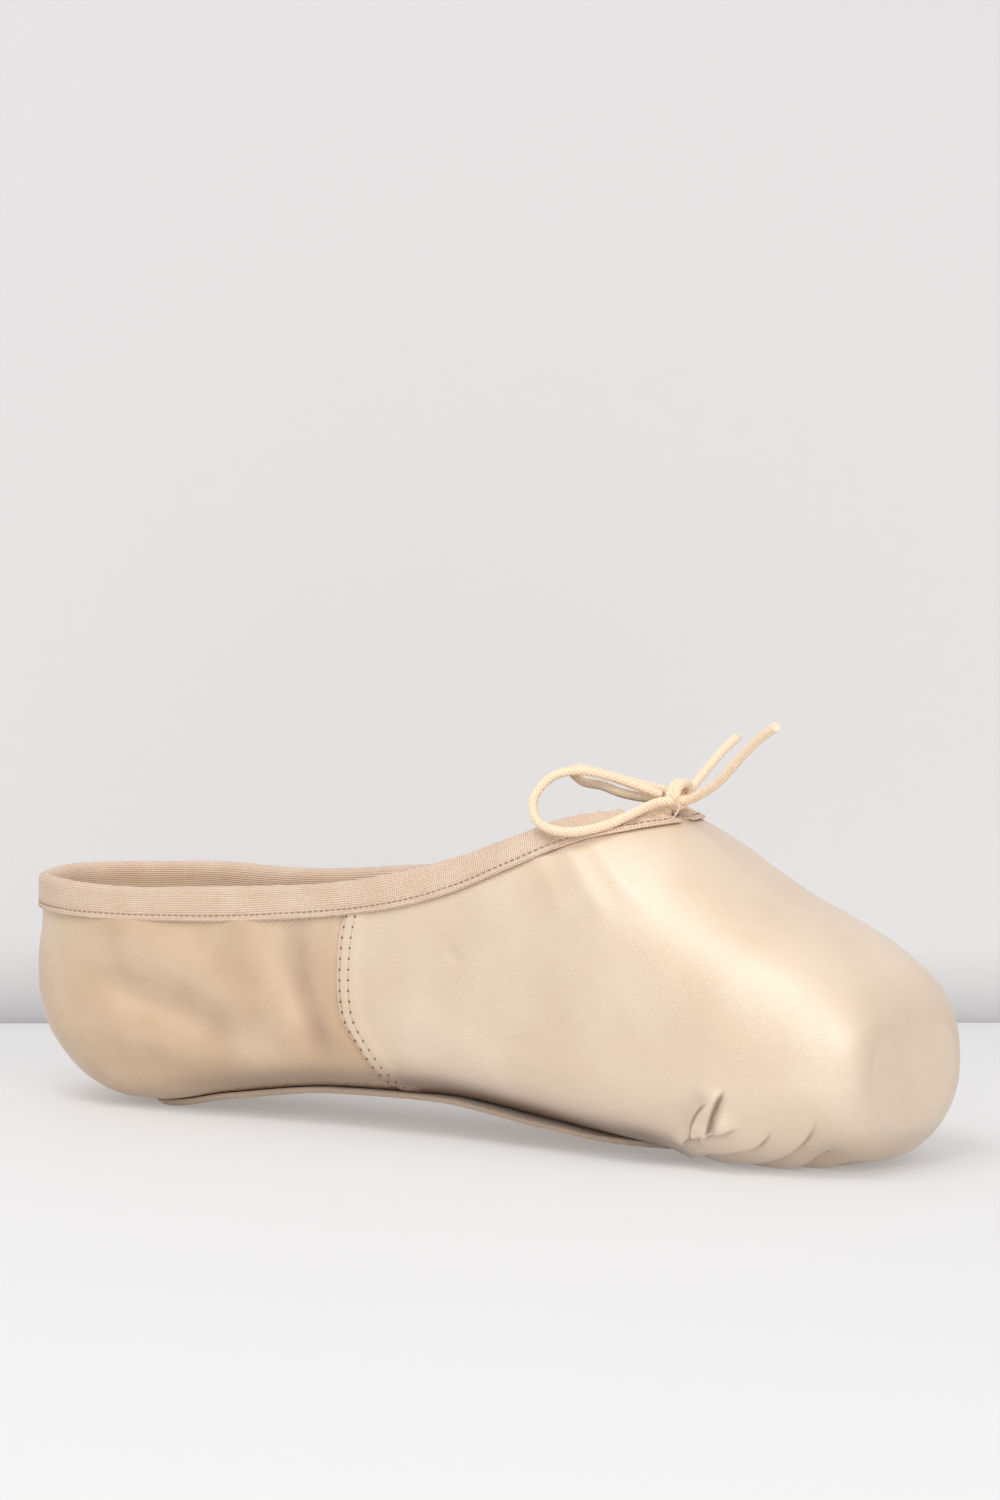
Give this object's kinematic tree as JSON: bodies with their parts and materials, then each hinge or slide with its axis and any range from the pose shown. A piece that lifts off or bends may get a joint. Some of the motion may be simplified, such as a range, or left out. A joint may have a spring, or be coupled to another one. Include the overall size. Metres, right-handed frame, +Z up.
{
  "type": "pointe ballet slipper",
  "caption": "Satin pointe slipper with a hardened toe box, flat toe platform, stitched side seams, canvas binding, drawstring bow and thin leather outsole.",
  "frame": {"origin": "middle of the shoe's length and width, on the floor; the free cords at the bow are not counted", "axes": "+X from the heel to the toe platform, +Y to the shoe's left, +Z up"},
  "size_m": [0.2358, 0.0676, 0.0992],
  "materials": {
    "satin": "peach satin with a soft sheen, canvas behind it",
    "binding_canvas": "woven cotton canvas",
    "cotton_cord": "flat tubular knitted cotton cord",
    "drill_lining": "cream cotton drill",
    "pasted_burlap": "burlap and paper hardened with paste",
    "fibreboard": "pressed fibreboard",
    "nail_steel": "plain steel",
    "sole_leather": "buffed tan leather with a bevelled edge"
  },
  "bodies": {
    "forefoot": {"vamp_satin": "satin", "vamp_lining": "drill_lining", "box_outer_layer": "pasted_burlap", "box_inner_layer": "pasted_burlap", "platform_disc": "pasted_burlap", "top_binding": "binding_canvas", "drawstring": "cotton_cord", "drawstring_knot": "cotton_cord", "bow_loop_left": "cotton_cord", "bow_loop_right": "cotton_cord", "bow_tail_left": "cotton_cord", "bow_tail_right": "cotton_cord", "outsole": "sole_leather", "insole_board": "fibreboard", "shank_board": "fibreboard", "sock_lining": "drill_lining"},
    "rearfoot": {"quarter_satin_left": "satin", "quarter_satin_right": "satin", "quarter_lining_left": "drill_lining", "quarter_lining_right": "drill_lining", "heel_seam_tape": "drill_lining", "half_shank": "fibreboard", "shank_nail_1": "nail_steel", "shank_nail_2": "nail_steel", "shank_nail_3": "nail_steel"}
  },
  "joints": [
    {"name": "ball_flex", "type": "hinge", "parent": "forefoot", "child": "rearfoot", "pos_m": [0.0199, 0, 0.01], "axis": [0, 1, 0], "range_deg": [-8, 25], "stiffness_Nm_per_rad": 2.5, "deforming": ["vamp_satin", "vamp_lining", "top_binding", "drawstring", "outsole", "insole_board", "shank_board", "sock_lining"]}
  ]
}
